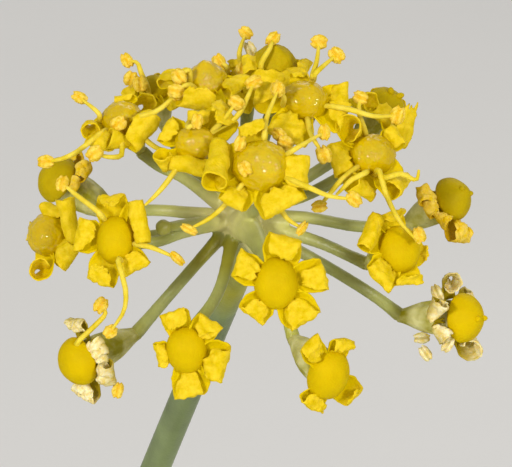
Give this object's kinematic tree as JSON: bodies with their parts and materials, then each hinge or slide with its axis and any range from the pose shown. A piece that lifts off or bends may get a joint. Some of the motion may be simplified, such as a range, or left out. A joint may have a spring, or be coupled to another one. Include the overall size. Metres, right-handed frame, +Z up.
{
  "type": "potted fennel",
  "caption": "Flowering fennel plant with feathery fronds and yellow umbels, growing in soil in a plain round terracotta pot.",
  "frame": {"origin": "centre of the pot's underside", "axes": "+Z up along the pot's axis; the front, with the umbellet that is modelled flower by flower, is on the -Y side"},
  "size_m": [0.2994, 0.2886, 0.4168],
  "materials": {
    "terracotta": "matte",
    "potting_soil": "matte",
    "stem_green": "satin",
    "pedicel_green": "satin",
    "frond_green": "satin",
    "flower_yellow": "satin"
  },
  "bodies": {
    "root": {"pot": "terracotta", "soil": "potting_soil", "stem": "stem_green", "front_umbellet_stalks": "pedicel_green", "front_flower_01": "flower_yellow", "front_flower_02": "flower_yellow", "front_flower_03": "flower_yellow", "front_flower_04": "flower_yellow", "front_flower_05": "flower_yellow", "front_flower_06": "flower_yellow", "front_flower_07": "flower_yellow", "front_flower_08": "flower_yellow", "front_flower_09": "flower_yellow", "front_flower_10": "flower_yellow", "front_flower_11": "flower_yellow", "front_flower_12": "flower_yellow", "front_flower_13": "flower_yellow", "front_flower_14": "flower_yellow", "front_flower_15": "flower_yellow", "front_flower_16": "flower_yellow", "front_flower_17": "flower_yellow", "front_flower_18": "flower_yellow", "front_flower_19": "flower_yellow", "front_flower_20": "flower_yellow", "top_umbellet_1": "flower_yellow", "top_umbellet_2": "flower_yellow", "top_umbellet_3": "flower_yellow", "top_umbellet_4": "flower_yellow", "top_umbellet_5": "flower_yellow", "top_umbellet_6": "flower_yellow", "top_umbellet_7": "flower_yellow", "side_umbellet_1": "flower_yellow", "side_umbellet_2": "flower_yellow", "side_umbellet_3": "flower_yellow", "side_umbellet_4": "flower_yellow", "stem_frond_1": "frond_green", "stem_frond_2": "frond_green", "stem_frond_3": "frond_green", "stem_frond_4": "frond_green", "stem_frond_5": "frond_green", "stem_frond_6": "frond_green", "basal_frond_1": "frond_green", "basal_frond_2": "frond_green", "basal_frond_3": "frond_green", "basal_frond_4": "frond_green", "basal_frond_5": "frond_green"}
  },
  "joints": []
}
